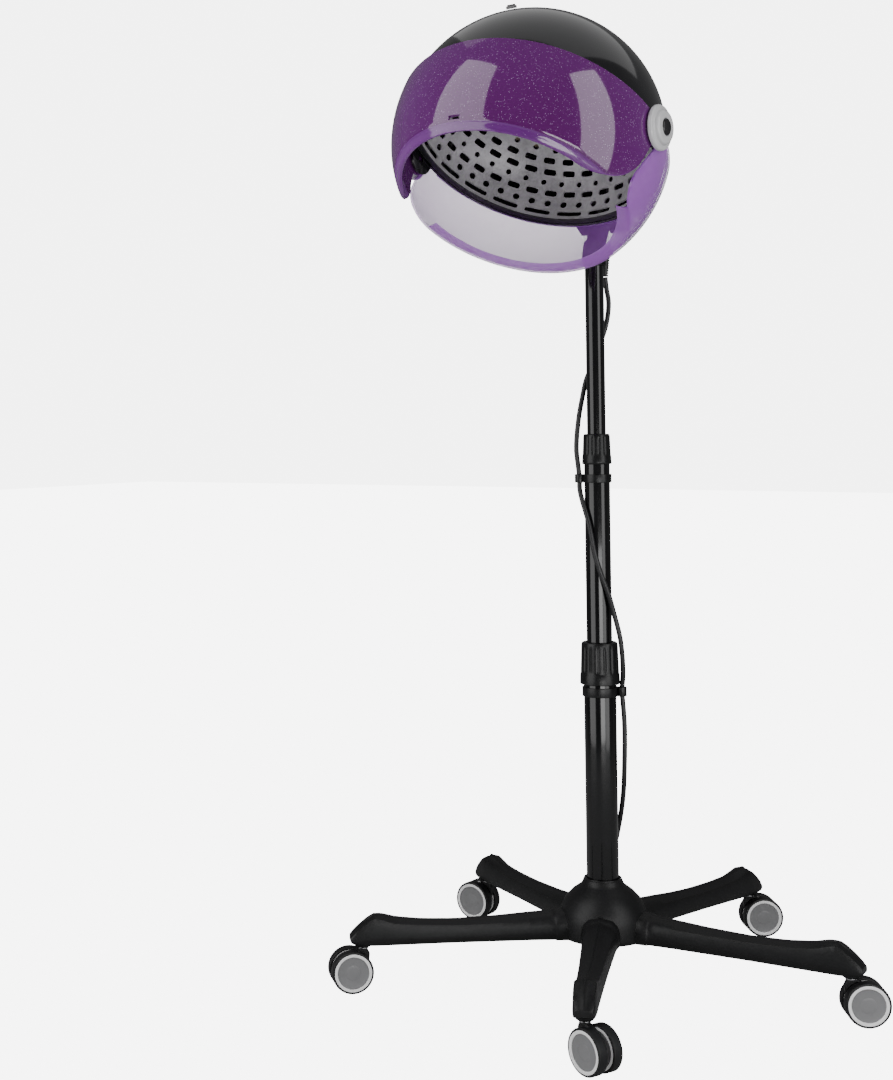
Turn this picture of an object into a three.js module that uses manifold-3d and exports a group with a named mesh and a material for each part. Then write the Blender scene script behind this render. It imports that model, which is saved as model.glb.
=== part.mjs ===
// Hood hair dryer on a five-legged rolling stand with a two-stage telescopic pole.
// Millimetres, +Z up. The pole stands on the Z axis and the hood looks along -Y.
import * as THREE from 'three';
import { mergeVertices } from 'three/addons/utils/BufferGeometryUtils.js';
import Module from 'manifold-3d';

const wasm = await Module();
wasm.setup();

// ---------------------------------------------------------------- driving dimensions
const GAP = 0.35; // running and resting clearance between neighbouring pieces

// rolling base
const CASTER_CIRCLE_R = 290;
const LEG_ANGLES = [0, 1, 2, 3, 4].map((i) => -65.4 + 72 * i);
const CASTER_TRAIL_ANGLES = [-19, 35, 40, 179, 228];
const CASTER_NAMES = ['front', 'right', 'rear_right', 'rear_left', 'left'];
const WHEEL_R = 25;
const WHEEL_WIDTH = 12;
const CASTER_TRAIL = 15;
const STEM_R = 5.5;
const HUB_R = 53;
const HUB_BOTTOM = 56;
const HUB_TOP = 125;

// pole: outer radius, wall, bottom and top of each tube
const LOWER_TUBE = { r: 19, wall: 1.8, z0: 62.5, z1: 394.5 };
const MID_TUBE = { r: 15, wall: 1.6, z0: 200, z1: 645.5 };
const UPPER_TUBE = { r: 11, wall: 1.5, z0: 430, z1: 880 };
const LOWER_COLLAR = { z0: 358, z1: 408, rBottom: 23.5, rTop: 21.5, step: 395 };
const UPPER_COLLAR = { z0: 621, z1: 657, rBottom: 17.4, rTop: 15.6, step: 646 };
const LOWER_CLIP = { z0: 343.5, z1: 354.5, angle: 27.3, loopR: 25.5 };
const UPPER_CLIP = { z0: 599, z1: 609, angle: 207.3, loopR: 20.6 };
const CORD_R = 3;

// hood: centre, tilt at rest, and the radii of its nested shells
const HOOD_CENTRE = new THREE.Vector3(0, -144, 987.4);
const HOOD_TILT = -34.3;
const BOWL_R = 157;
const BOWL_WALL = 3;
const DOME_R = 151;
const DOME_WALL = 3.2;
const DOME_RIM = 3;
const DOME_EAR_R = 20;
const DIFFUSER_R = 142.5;
const DIFFUSER_H = 99.8;
const DIFFUSER_Z = 3.2;
const DIFFUSER_WALL = 2.2;
const CAP_R = 25;
const PIVOT_PIN_R = 4;
const TILT_HINGE = { y: 174.9, z: 28.1 }; // in the hood's own frame
const REAR_HALF_WIDTH = 48;
const REAR_BACK = 190;

// ---------------------------------------------------------------- helpers
const rad = THREE.MathUtils.degToRad;
const v2 = (points) => points.map(([x, y]) => new THREE.Vector2(x, y));
const polar = (r, angle, z) => new THREE.Vector3(
  r * Math.cos(rad(angle)), r * Math.sin(rad(angle)), z);

// Ring of revolution about Z from a closed profile of [radius, z].
function turned(profile, segments = 24) {
  const closed = profile[0][0] > 0 ? [...profile, profile[0]] : profile;
  return new THREE.LatheGeometry(v2(closed), segments).rotateX(Math.PI / 2);
}

// Cylinder along Z from z0 to z1.
function rod(r, z0, z1, segments = 20) {
  return new THREE.CylinderGeometry(r, r, z1 - z0, segments)
    .rotateX(Math.PI / 2).translate(0, 0, (z0 + z1) / 2);
}

// Cylinder along X, centred on [y, z].
function rodX(r, x0, x1, y, z, segments = 20) {
  return rod(r, x0, x1, segments).rotateY(Math.PI / 2).translate(0, y, z);
}

// Cylinder along Y, centred on [x, z].
function rodY(r, y0, y1, x, z, segments = 20) {
  return rod(r, y0, y1, segments).rotateX(-Math.PI / 2).translate(x, 0, z);
}

function block(x0, x1, y0, y1, z0, z1) {
  return new THREE.BoxGeometry(x1 - x0, y1 - y0, z1 - z0)
    .translate((x0 + x1) / 2, (y0 + y1) / 2, (z0 + z1) / 2);
}

// Prism whose outline is given as [y, z], spanning x0 to x1.
function prismX(outline, x0, x1) {
  const shape = new THREE.Shape(v2(outline));
  return new THREE.ExtrudeGeometry(shape, { depth: x1 - x0, bevelEnabled: false, curveSegments: 12 })
    .applyMatrix4(new THREE.Matrix4().makeBasis(
      new THREE.Vector3(0, 1, 0), new THREE.Vector3(0, 0, 1), new THREE.Vector3(1, 0, 0)))
    .translate(x0, 0, 0);
}

// Solid skin through a row of rings that all have the same number of points.
function lofted(rings) {
  const n = rings[0].length;
  const position = rings.flat().flatMap((p) => [p.x, p.y, p.z]);
  const index = [];
  for (let i = 0; i + 1 < rings.length; i += 1) {
    for (let j = 0; j < n; j += 1) {
      const a = i * n + j;
      const b = i * n + (j + 1) % n;
      index.push(a, b + n, b, a, a + n, b + n);
    }
  }
  const last = (rings.length - 1) * n;
  for (let j = 1; j + 1 < n; j += 1) index.push(0, j, j + 1, last, last + j + 1, last + j);
  const geometry = new THREE.BufferGeometry();
  geometry.setAttribute('position', new THREE.Float32BufferAttribute(position, 3));
  geometry.setIndex(index);
  return geometry;
}

// Boolean work: geometry to solid and back.
function solid(geometry) {
  const bare = geometry.clone();
  bare.deleteAttribute('normal');
  bare.deleteAttribute('uv');
  const merged = mergeVertices(bare, 1e-4);
  return new wasm.Manifold(new wasm.Mesh({
    numProp: 3,
    vertProperties: new Float32Array(merged.getAttribute('position').array),
    triVerts: new Uint32Array(merged.getIndex().array),
  }));
}

function skin(manifold) {
  const mesh = manifold.getMesh();
  const geometry = new THREE.BufferGeometry();
  geometry.setAttribute('position', new THREE.BufferAttribute(mesh.vertProperties, 3));
  geometry.setIndex(new THREE.BufferAttribute(mesh.triVerts, 1));
  return geometry;
}

const join = (first, ...rest) => rest.reduce((sum, g) => sum.add(solid(g)), solid(first));
const cut = (body, ...tools) => tools.reduce((left, g) => left.subtract(solid(g)), body);

const PLASTIC = { roughness: 0.5, metalness: 0 };
const GLOSS = { roughness: 0.12, metalness: 0 };
const LACQUER = { roughness: 0.25, metalness: 0.3 };
const STEEL = { roughness: 0.2, metalness: 1 };

function piece(name, geometry, color, look = PLASTIC, parent = dryer) {
  const shown = geometry instanceof wasm.Manifold ? skin(geometry) : geometry;
  const mesh = new THREE.Mesh(shown, new THREE.MeshStandardMaterial({ color, ...look }));
  mesh.name = name;
  parent.add(mesh);
  return mesh;
}

// The pole axis is off the centre of the footprint, so the whole dryer is shifted to put
// the origin under the middle of its bounding box.
const dryer = new THREE.Group();

// ---------------------------------------------------------------- hub and legs
const hubProfile = [[0, HUB_BOTTOM], [50, HUB_BOTTOM], [HUB_R, 60], [HUB_R, 78], [50.5, 90],
  [44.5, 101.5], [36, 110.5], [25, 118.5], [22.5, HUB_TOP]];
piece('hub', turned([...hubProfile, [LOWER_TUBE.r + 0.3, HUB_TOP], [LOWER_TUBE.r + 0.3, 62],
  [0, 62]], 32), 0x17181a, PLASTIC);

const hubEnvelope = turned([[0, HUB_BOTTOM - 4], [50 + GAP, HUB_BOTTOM - 4],
  [HUB_R + GAP, 60], [HUB_R + GAP, 78], [51, 90.2], [45, 101.8], [36, 111.5], [0, HUB_TOP]], 32);

// Leg section: flat underside, leaning flanks, and a raised spine on top.
const LEG_STATIONS = [ // distance from the pole, half width, underside, spine height
  [36, 22, 57.5, 92], [80, 20.5, 57.5, 88], [130, 17.5, 57, 84], [180, 15.6, 56.5, 82],
  [230, 14.2, 55.5, 83.5], [276, 13.4, 55, 90.5], [298, 12.4, 56, 74], [305, 10.5, 58, 67]];

function legRing([x, half, z0, z1]) {
  const h = z1 - z0;
  const side = [[0.85, 0], [1, 0.15], [0.94, 0.6], [0.5, 0.88]];
  const right = side.map(([w, t]) => new THREE.Vector3(x, -w * half, z0 + t * h));
  const left = side.map(([w, t]) => new THREE.Vector3(x, w * half, z0 + t * h)).reverse();
  return [...left, ...right, new THREE.Vector3(x, 0, z1)];
}

LEG_ANGLES.forEach((angle, i) => {
  const boss = turned([[0, 52], [9, 52], [9, 62], [0, 62]], 16).translate(CASTER_CIRCLE_R, 0, 0);
  const bore = rod(STEM_R + 0.3, 50, 75, 16).translate(CASTER_CIRCLE_R, 0, 0);
  const leg = piece(`leg_${i + 1}`,
    cut(join(lofted(LEG_STATIONS.map(legRing)), boss), bore, hubEnvelope), 0x17181a, PLASTIC);
  leg.rotation.z = rad(angle);
});

// ---------------------------------------------------------------- twin-wheel casters
const FORK_HALF = 3.6;

// Prism whose outline is given as [x, z], spanning y0 to y1.
function prismY(outline, y0, y1) {
  return new THREE.ExtrudeGeometry(new THREE.Shape(v2(outline)), { depth: y1 - y0, bevelEnabled: false })
    .rotateX(Math.PI / 2).translate(0, y1, 0);
}

// Slim web between the wheels with the axle through it and the swivel stem on top.
function casterHousing() {
  const web = [[-5, 50.4], [-8, 44], [-7, 34], [0, 20], [8, 12], [18, 10], [27, 16], [30, 27],
    [26, 38], [14, 46], [6, 50.4]];
  return join(prismY(web, -FORK_HALF, FORK_HALF), rod(6.4, 50.1, 51.6, 16),
    rod(STEM_R, 50, 72, 16), rodY(3, -16.6, 16.6, CASTER_TRAIL, WHEEL_R, 12));
}

const half = WHEEL_WIDTH / 2;
const wheelProfile = [[3.4, -half], [22.5, -half], [WHEEL_R, -half + 2.5], [WHEEL_R, half - 2.5],
  [22.5, half], [3.4, half]];

LEG_ANGLES.forEach((angle, i) => {
  const caster = new THREE.Group();
  caster.position.copy(polar(CASTER_CIRCLE_R, angle, 0));
  caster.rotation.z = rad(CASTER_TRAIL_ANGLES[i]);
  dryer.add(caster);
  const name = `caster_${CASTER_NAMES[i]}`;
  piece(`${name}_housing`, casterHousing(), 0x1b1c1e, PLASTIC, caster);
  for (const [side, sign] of [['wheel_a', -1], ['wheel_b', 1]]) {
    const wheel = piece(`${name}_${side}`, turned(wheelProfile, 20), 0x222326, PLASTIC, caster);
    wheel.position.set(CASTER_TRAIL, sign * (FORK_HALF + 0.5 + half), WHEEL_R);
    wheel.rotation.x = Math.PI / 2;
  }
});

// ---------------------------------------------------------------- telescopic pole
for (const [name, t] of [['lower_tube', LOWER_TUBE], ['mid_tube', MID_TUBE],
  ['upper_tube', UPPER_TUBE]]) {
  piece(name, turned([[t.r - t.wall, t.z0], [t.r, t.z0], [t.r, t.z1], [t.r - t.wall, t.z1]], 28),
    0x0c0c0e, LACQUER);
}

// Twist collar: grips the tube below it and lets the tube above slide through. Every other
// outer edge is set back to form the finger flutes.
function twistCollar(c, below, above) {
  const low = below.r + GAP;
  const high = above.r + GAP;
  const geometry = turned([[low, c.z0], [c.rBottom, c.z0], [c.rBottom - 0.4, c.z0 + 12],
    [c.rTop, c.z1 - 3], [c.rTop, c.z1], [high, c.z1], [high, c.step], [low, c.step]], 32);
  const p = geometry.getAttribute('position');
  for (let i = 0; i < p.count; i += 1) {
    const r = Math.hypot(p.getX(i), p.getY(i));
    const step = Math.round(Math.atan2(p.getY(i), p.getX(i)) / (Math.PI / 16));
    const fluted = p.getZ(i) > c.z0 + 10 && p.getZ(i) < c.z1 - 2 && r > low + 0.1;
    if (fluted && (step + 32) % 4 < 2) {
      p.setXY(i, p.getX(i) * (1 - 0.7 / r), p.getY(i) * (1 - 0.7 / r));
    }
  }
  return geometry;
}
piece('lower_collar', twistCollar(LOWER_COLLAR, LOWER_TUBE, MID_TUBE), 0x141416, PLASTIC);
piece('upper_collar', twistCollar(UPPER_COLLAR, MID_TUBE, UPPER_TUBE), 0x141416, PLASTIC);

// Spring clip round a tube with a closed eye for the cord.
function cordClip(c, tube) {
  const at = polar(c.loopR, c.angle, 0);
  const ring = rod(tube.r + 2, c.z0, c.z1, 24);
  const eye = rod(CORD_R + 2.7, c.z0, c.z1, 14).translate(at.x, at.y, 0);
  return cut(join(ring, eye), rod(tube.r + GAP + 0.1, c.z0 - 1, c.z1 + 1, 28),
    rod(CORD_R + 0.9, c.z0 - 1, c.z1 + 1, 14).translate(at.x, at.y, 0));
}
piece('cord_clip_lower', cordClip(LOWER_CLIP, LOWER_TUBE), 0x101012, PLASTIC);
piece('cord_clip_upper', cordClip(UPPER_CLIP, MID_TUBE), 0x101012, PLASTIC);

// ---------------------------------------------------------------- neck
const hood = new THREE.Group();
hood.position.copy(HOOD_CENTRE);
hood.rotation.x = rad(HOOD_TILT);
dryer.add(hood);
hood.updateMatrixWorld(true);
const hinge = new THREE.Vector3(0, TILT_HINGE.y, TILT_HINGE.z).applyMatrix4(hood.matrixWorld);

// Socket over the pole top, a curved arm to the hinge knuckle, and a lug for the cord.
const socket = turned([[0, 858], [14.5, 858], [14.5, 870], [12.5, 882], [11, 888], [0, 888]], 24);
const arm = prismX([[-9, 876], [11, 876], [hinge.y + 10, hinge.z - 6], [hinge.y, hinge.z + 4],
  [hinge.y - 10, hinge.z - 2]], -9, 9);
const knuckle = rodX(12, -12.6, 12.6, hinge.y, hinge.z, 24);
const lug = prismX([[4, 872], [34, 872], [34, 880], [28, 884], [4, 884]], -8, 8);
piece('neck_bracket', cut(join(socket, arm, knuckle, lug),
  rod(UPPER_TUBE.r + 0.3, 850, UPPER_TUBE.z1 + 0.4, 28),
  rodX(4.3, -20, 20, hinge.y, hinge.z, 16),
  rod(2.2, 868, 890, 12).translate(0, 27, 0)), 0x131315, PLASTIC);

piece('strain_relief', turned([[0, 846], [3.6, 846], [4.2, 853], [5.6, 865], [6.2, 871.6],
  [0, 871.6]], 16), 0x101012, PLASTIC).position.set(0, 27, 0);

// Clamp bolt through ears and knuckle, and its lobed hand knob.
const boltGeometry = join(rodX(4, -27, 27, 0, 0, 20), rodX(7.5, -30, -26.3, 0, 0, 6));
piece('tilt_bolt', boltGeometry, 0x9a9ca0, STEEL).position.copy(hinge);

const lobes = new THREE.Shape();
for (let i = 0; i < 36; i += 1) {
  const a = (i / 36) * Math.PI * 2;
  const r = 13.6 + 1.4 * Math.cos(6 * a);
  if (i === 0) lobes.moveTo(r, 0);
  else lobes.lineTo(r * Math.cos(a), r * Math.sin(a));
}
const knobBody = new THREE.ExtrudeGeometry(lobes, { depth: 12, bevelEnabled: false })
  .rotateY(Math.PI / 2).translate(26.6, 0, 0);
piece('tilt_knob', cut(join(knobBody, rodX(9, 38, 41, 0, 0, 24)), rodX(4.3, 26, 27.4, 0, 0, 20)),
  0x151517, PLASTIC).position.copy(hinge);

// ---------------------------------------------------------------- hood shells
const sphere = (r, w = 36, h = 18) => new THREE.SphereGeometry(r, w, h)
  .rotateX(Math.PI / 2).rotateY(Math.PI / 2);

// Dome shell: open below, holes for the side pivots and an air and wiring port at the back.
const domeProfile = [];
const rimAngle = Math.asin(DOME_RIM / DOME_R);
for (let i = 0; i <= 9; i += 1) {
  const t = rimAngle + (Math.PI / 2 - rimAngle) * (i / 9);
  domeProfile.push([i === 9 ? 0 : DOME_R * Math.cos(t), DOME_R * Math.sin(t)]);
}
const innerScale = (DOME_R - DOME_WALL) / DOME_R;
const domeInner = domeProfile.slice().reverse().map(([r, z], i, all) => [
  r * innerScale, i === all.length - 1 ? z : z * innerScale]);
const domeShell = turned([...domeProfile, ...domeInner], 36);
const domeEars = solid(turned([[DOME_R - DOME_WALL, -DOME_EAR_R - 2], [DOME_R - 0.6, -DOME_EAR_R - 2],
  [DOME_R - 0.6, DOME_RIM + 1], [DOME_R - DOME_WALL, DOME_RIM + 1]], 36))
  .intersect(solid(rodX(DOME_EAR_R, -160, 160, 0, 0, 24)));
piece('outer_dome', cut(solid(domeShell).add(domeEars), rodX(PIVOT_PIN_R + GAP, -160, 160, 0, 0, 16),
  block(-34, 34, 100, 160, 62, 100)), 0x0b0b0d, GLOSS, hood);

// Rear housing: control box on the back of the dome, open towards it, with the hinge ears.
const rearOutline = [[130, 15], [184, 15], [REAR_BACK, 21], [REAR_BACK, 84], [146, 128], [96, 132],
  [60, 128], [60, 60]];
const rearInside = [[120, 50], [REAR_BACK - 3, 50], [REAR_BACK - 3, 83], [144, 125], [96, 129],
  [60, 125], [60, 50]];
const sideTrim = [[110, 0], [200, 0], [200, 46], [110, 46]];
const rearBody = cut(solid(prismX(rearOutline, -REAR_HALF_WIDTH, REAR_HALF_WIDTH)),
  prismX(rearInside, -REAR_HALF_WIDTH + 3, REAR_HALF_WIDTH - 3),
  prismX(sideTrim, -60, -26), prismX(sideTrim, 26, 60),
  prismX([[120, 0], [200, 0], [200, 46], [120, 46]], -13.2, 13.2),
  rodX(4.3, -60, 60, TILT_HINGE.y, TILT_HINGE.z, 16),
  rodY(3.4, 180, 200, -27, 66, 14), rodY(3.4, 180, 200, 27, 66, 14),
  block(-6, 6, 180, 200, 56.5, 75.5),
  sphere(DOME_R + 1.3));
const slopeSlots = [];
for (let i = -2; i <= 2; i += 1) {
  slopeSlots.push(new THREE.BoxGeometry(8, 30, 12).rotateX(-Math.PI / 4).translate(i * 14, 168, 106));
}
piece('rear_housing', cut(rearBody, ...slopeSlots), 0x121214, GLOSS, hood);

// Intake grille: slotted plate on the sloping face.
const grilleSlots = [];
for (let i = -4; i <= 4; i += 1) grilleSlots.push(block(i * 8 - 2, i * 8 + 2, -17, 17, -3, 6));
const grille = piece('intake_grille', cut(solid(block(-40, 40, -21, 21, 0, 2.6)), ...grilleSlots),
  0x1d1d20, PLASTIC, hood);
grille.position.set(0, 168 + 0.25, 106 + 0.25);
grille.rotation.x = -Math.PI / 4;

// Knobs with a pointer rib, shafts in the back wall, axis along the hood's own Y.
function controlKnob(r) {
  const body = turned([[0, 0], [r, 0], [r, 3], [r - 1.5, 4], [r - 2.5, 14.5], [0, 14.5]], 20);
  return join(body, rod(3, -8, 1, 12), block(-1.6, 1.6, 1, r - 2.6, 10, 16));
}
for (const [name, x, r] of [['timer_knob', -27, 13.5], ['temperature_knob', 27, 13.5]]) {
  const knob = piece(name, controlKnob(r), 0x2a2a2e, PLASTIC, hood);
  knob.position.set(x, REAR_BACK + 0.4, 66);
  knob.rotation.x = -Math.PI / 2;
}
piece('power_switch', prismX([[-4, -8.6], [1, -8.6], [3.2, -8.2], [1.4, 0], [3.2, 8.2], [1, 8.6],
  [-4, 8.6], [-5, 0]], -5.4, 5.4), 0x7a1518, PLASTIC, hood).position.set(0, REAR_BACK - 1, 66);

// Diffuser: shallower perforated bowl with a flat rim flange resting inside the dome.
const diffuserOut = [];
const diffuserIn = [];
for (let i = 0; i <= 7; i += 1) {
  const t = (i / 7) * Math.PI / 2;
  const inner = [(DIFFUSER_R - DIFFUSER_WALL) * Math.cos(t), (DIFFUSER_H - DIFFUSER_WALL) * Math.sin(t)];
  diffuserOut.push([i === 7 ? 0 : DIFFUSER_R * Math.cos(t), 2 + DIFFUSER_H * Math.sin(t)]);
  diffuserIn.unshift([i === 7 ? 0 : inner[0], inner[1]]);
}
const diffuserShell = turned([[DIFFUSER_R - DIFFUSER_WALL, 0], [146.6, 0], [146.6, 2], ...diffuserOut,
  ...diffuserIn.slice(0, -1)], 30);
const rows = [[9, 9, 16, 6], [28, 7, 12, 6], [52, 5, 10, 6]];
const slots = [];
for (const [lat, count, long, tall] of rows) {
  for (let k = 0; k < count; k += 1) {
    slots.push(block(-long / 2, long / 2, 40, 160, -tall / 2, tall / 2)
      .rotateX(rad(lat)).rotateZ((k / count) * Math.PI * 2));
  }
}
piece('diffuser', cut(solid(diffuserShell), ...slots), 0x6c6d70, PLASTIC, hood)
  .position.z = DIFFUSER_Z;

// Fan and heater above the diffuser.
piece('motor', turned([[0, 124], [24, 124], [26, 127], [26, 140], [20, 143], [0, 143]], 20),
  0x8a8c90, STEEL, hood);
const bladeRing = [];
for (let k = 0; k < 7; k += 1) {
  bladeRing.push(block(9, 50, -1.2, 1.2, 110, 120).rotateZ((k / 7) * Math.PI * 2));
}
piece('impeller', join(turned([[0, 108], [12, 108], [12, 123.4], [0, 123.4]], 20),
  turned([[9, 108], [52, 108], [52, 110.4], [9, 110.4]], 28), ...bladeRing), 0x303236, PLASTIC, hood);
piece('heater_frame', turned([[99, 80], [108, 80], [108, 90], [99, 90]], 28), 0xb8a888, STEEL, hood);

// Visor: front quarter of the bowl with round ears on the pivots.
const bowlShell = cut(solid(sphere(BOWL_R)), sphere(BOWL_R - BOWL_WALL));
const visorOutline = [[1.3, 9], [-90, 9], [-170, 13], [-170, -90], [-52, -90], [-38, -87.5],
  [-25, -82.5], [-12, -74], [-4, -64], [1.3, -50]];
const earOuter = rodX(19.5, -170, 170, 0, 0, 24);
const visorZone = solid(prismX(visorOutline, -170, 170)).add(solid(earOuter));
piece('visor', cut(bowlShell.intersect(visorZone), rodX(PIVOT_PIN_R + GAP, -170, 170, 0, 0, 16),
  block(-7, 7, -160, -110, -80.5, -76.5)), 0x5a1c74, GLOSS, hood);

// Neck guard: the rear half of the bowl below the dome, with an inward lip along its bottom.
const guardOutline = [[15, 8], [165, 8], [165, -80], [33, -80], [24, -78], [15, -73], [8, -66],
  [5, -57], [6, -40], [11, -20]];
const guardZone = solid(prismX(guardOutline, -170, 170));
const guardLip = turned([[121, -80], [134.6, -80], [136.4, -77], [121, -77]], 40);
const guardTie = turned([[151.4, 4], [154.6, 4], [154.6, 7.6], [151.4, 7.6]], 40);
const guardBack = solid(block(-170, 170, 35, 170, -100, 10));
piece('neck_guard', cut(bowlShell.intersect(guardZone)
  .add(solid(guardLip).intersect(guardBack)).add(solid(guardTie).intersect(guardBack)),
rodX(23, -170, 170, 0, 0, 28), block(-17, 17, 149, 170, -6, 20)), 0x8a52b4, GLOSS, hood);

// Side caps with pivot pins, and the dark plugs in their centres.
for (const [side, sign] of [['left', 1], ['right', -1]]) {
  const disc = turned([[0, 157.6], [CAP_R, 157.6], [CAP_R, 161], [CAP_R - 3, 163], [CAP_R - 6, 167],
    [CAP_R - 8, 168.5], [9.6, 168.5], [9.6, 166], [0, 166]], 28);
  const cap = piece(`pivot_cap_${side}`, join(disc, rod(PIVOT_PIN_R, 146.6, 159, 14)), 0xc9cacc, GLOSS, hood);
  cap.rotation.y = sign * Math.PI / 2;
  const plug = piece(`pivot_plug_${side}`, turned([[0, 166.3], [9.2, 166.3], [9.2, 168.6], [7, 169.6],
    [0, 169.6]], 20), 0x0e0e10, GLOSS, hood);
  plug.rotation.y = sign * Math.PI / 2;
}

// Stop tab on the dome: the raised visor's top edge meets it.
const stop = piece('visor_stop', block(-6, 6, 0, 5, -2.5, 2.5), 0x0e0e10, PLASTIC, hood);
stop.rotation.x = rad(-42);
stop.position.set(0, -(DOME_R + 5.35) * Math.cos(rad(42)), (DOME_R + 5.35) * Math.sin(rad(42)));

// ---------------------------------------------------------------- supply cord
// Route points: distance from the pole, direction, height.
const CORD_TOP = [[27, 90, 845.6], [28, 88, 832], [28.5, 83, 814], [24.5, 86, 788], [20.5, 112, 756],
  [20, 122, 743]];
const CORD_UPPER = [[20, 122.5, 742.4], [20, 150, 724.5], [20, 175, 698], [21.6, 195, 674],
  [24, 205, 640], [22, 207.3, 618], [20.6, 207.3, 604]];
const CORD_MIDDLE = [[20.6, 207.3, 603.4], [20.6, 214, 590], [19, 265.6, 550], [19, 288, 513],
  [19, 308, 490], [19.5, 334, 467], [21, 354, 444], [27, 364, 412], [27.6, 378, 372],
  [25.8, 386.6, 354], [25.5, 387.3, 349.2]];
const CORD_LOWER = [[25.5, 27.3, 348.6], [26.5, 27, 336], [28, 27, 310], [27.5, 28, 267],
  [26, 45, 219], [26, 78, 170], [32, 100, 145], [46, 110, 124], [59, 113, 98], [64, 114, 74],
  [70, 114.8, 50], [81, 115.6, 27], [97, 116.3, 10.5], [118, 116.8, 4.4], [140, 117.2, 3.4]];

function cordPiece(name, points, steps) {
  const circle = new THREE.Shape();
  circle.absarc(0, 0, CORD_R, 0, Math.PI * 2, false);
  const path = new THREE.CatmullRomCurve3(points, false, 'centripetal');
  piece(name, new THREE.ExtrudeGeometry(circle, { steps, curveSegments: 3, bevelEnabled: false,
    extrudePath: path }), 0x0f0f11, PLASTIC);
}
const fromPolar = (route) => route.map(([r, angle, z]) => polar(r, angle, z));
cordPiece('cord_top', fromPolar(CORD_TOP), 12);
cordPiece('cord_upper', fromPolar(CORD_UPPER), 16);
cordPiece('cord_middle', fromPolar(CORD_MIDDLE), 24);

// The rest is wound into a round coil, a plain ring here, held by a tie, on the floor behind
// the hub. Its frame: x away from the pole, y to the left, origin under the pole.
const COIL_ANGLE = 117.3;
const COIL_AT = 262;
const PLUG_AT = [224, -38.6, 11];
const coilFrame = (x, y, z) => new THREE.Vector3(x, y, z)
  .applyAxisAngle(new THREE.Vector3(0, 0, 1), rad(COIL_ANGLE));
const LEAD_IN = [[140.8, -0.3, 3.4], [158, 2.5, 3.5], [178, 9, 3.8], [199, 19.5, 4], [213, 27.2, 4.1],
  [227, 33.6, 4.1]];
cordPiece('cord_lower', [...fromPolar(CORD_LOWER), ...LEAD_IN.map((p) => coilFrame(...p))], 44);

const ring = turned([[22.9, 1.2], [43.3, 1.2], [43.3, 13.8], [22.9, 13.8]], 28)
  .translate(COIL_AT, 0, 0);
const tail = rod(CORD_R, 224.3, 256, 12).rotateY(Math.PI / 2).translate(0, PLUG_AT[1], PLUG_AT[2] - 0.4);
piece('cord_coil', join(ring, tail), 0x0f0f11, PLASTIC).rotation.z = rad(COIL_ANGLE);

const tieRing = (x0, x1, z0, z1, c) => v2([[x0 + c, z0], [x1 - c, z0], [x1, z0 + c], [x1, z1 - c],
  [x1 - c, z1], [x0 + c, z1], [x0, z1 - c], [x0, z0 + c]]);
const tieShape = new THREE.Shape(tieRing(21.6, 44.6, 0.1, 15.2, 0.9));
tieShape.holes.push(new THREE.Path(tieRing(22.4, 43.8, 0.9, 14.4, 0.4)));
const tie = piece('cord_tie', new THREE.ExtrudeGeometry(tieShape, { depth: 8, bevelEnabled: false })
  .rotateX(Math.PI / 2).translate(COIL_AT, 4, 0), 0x101012, PLASTIC);
tie.rotation.z = rad(COIL_ANGLE);

const plugBody = turned([[0, 0.4], [3.6, 0.4], [4.4, 8], [6, 12], [9.5, 16], [10.5, 34], [9.5, 38],
  [0, 38]], 14);
const plug = piece('plug', join(plugBody, rod(2, 37, 56, 8).translate(5.5, 0, 0),
  rod(2, 37, 56, 8).translate(-5.5, 0, 0)), 0x121214, PLASTIC);
plug.rotation.set(0, -Math.PI / 2, rad(COIL_ANGLE), 'ZYX');
plug.position.copy(coilFrame(PLUG_AT[0] - 0.6, PLUG_AT[1], PLUG_AT[2]));

// ---------------------------------------------------------------- place in the final frame
dryer.updateMatrixWorld(true);
const ON_THE_CORD = ['cord_top', 'cord_upper', 'cord_middle', 'cord_lower', 'cord_coil', 'cord_tie',
  'plug'];
const box = new THREE.Box3();
dryer.traverse((o) => {
  if (o.isMesh && !ON_THE_CORD.includes(o.name)) box.expandByObject(o, true);
});
const middle = box.getCenter(new THREE.Vector3());
dryer.position.set(-middle.x, -middle.y, -box.min.z);

export default dryer;
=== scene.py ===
"""Hood hair dryer on a rolling stand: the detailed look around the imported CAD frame."""
import math

import bmesh
import bpy
from mathutils import Matrix, Vector


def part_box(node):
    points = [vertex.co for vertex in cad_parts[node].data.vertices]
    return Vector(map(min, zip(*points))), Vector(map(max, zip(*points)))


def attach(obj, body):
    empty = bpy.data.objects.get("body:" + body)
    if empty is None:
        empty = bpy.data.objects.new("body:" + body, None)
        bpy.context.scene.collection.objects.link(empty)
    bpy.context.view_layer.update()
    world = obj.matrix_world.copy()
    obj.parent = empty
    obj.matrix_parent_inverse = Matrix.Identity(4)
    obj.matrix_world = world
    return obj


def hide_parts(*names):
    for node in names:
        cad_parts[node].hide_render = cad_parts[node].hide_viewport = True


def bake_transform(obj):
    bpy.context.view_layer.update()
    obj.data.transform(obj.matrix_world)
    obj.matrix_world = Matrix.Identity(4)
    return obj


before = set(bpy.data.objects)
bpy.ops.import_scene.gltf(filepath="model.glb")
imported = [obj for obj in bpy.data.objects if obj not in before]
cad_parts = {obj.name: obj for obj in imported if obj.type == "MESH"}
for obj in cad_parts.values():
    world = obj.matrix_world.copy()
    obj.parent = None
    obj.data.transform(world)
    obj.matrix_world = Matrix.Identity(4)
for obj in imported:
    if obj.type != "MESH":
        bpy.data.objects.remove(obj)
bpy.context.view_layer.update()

MM = 0.001


def shift(x, y, z):
    return Matrix.Translation(Vector((x, y, z)))


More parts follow.
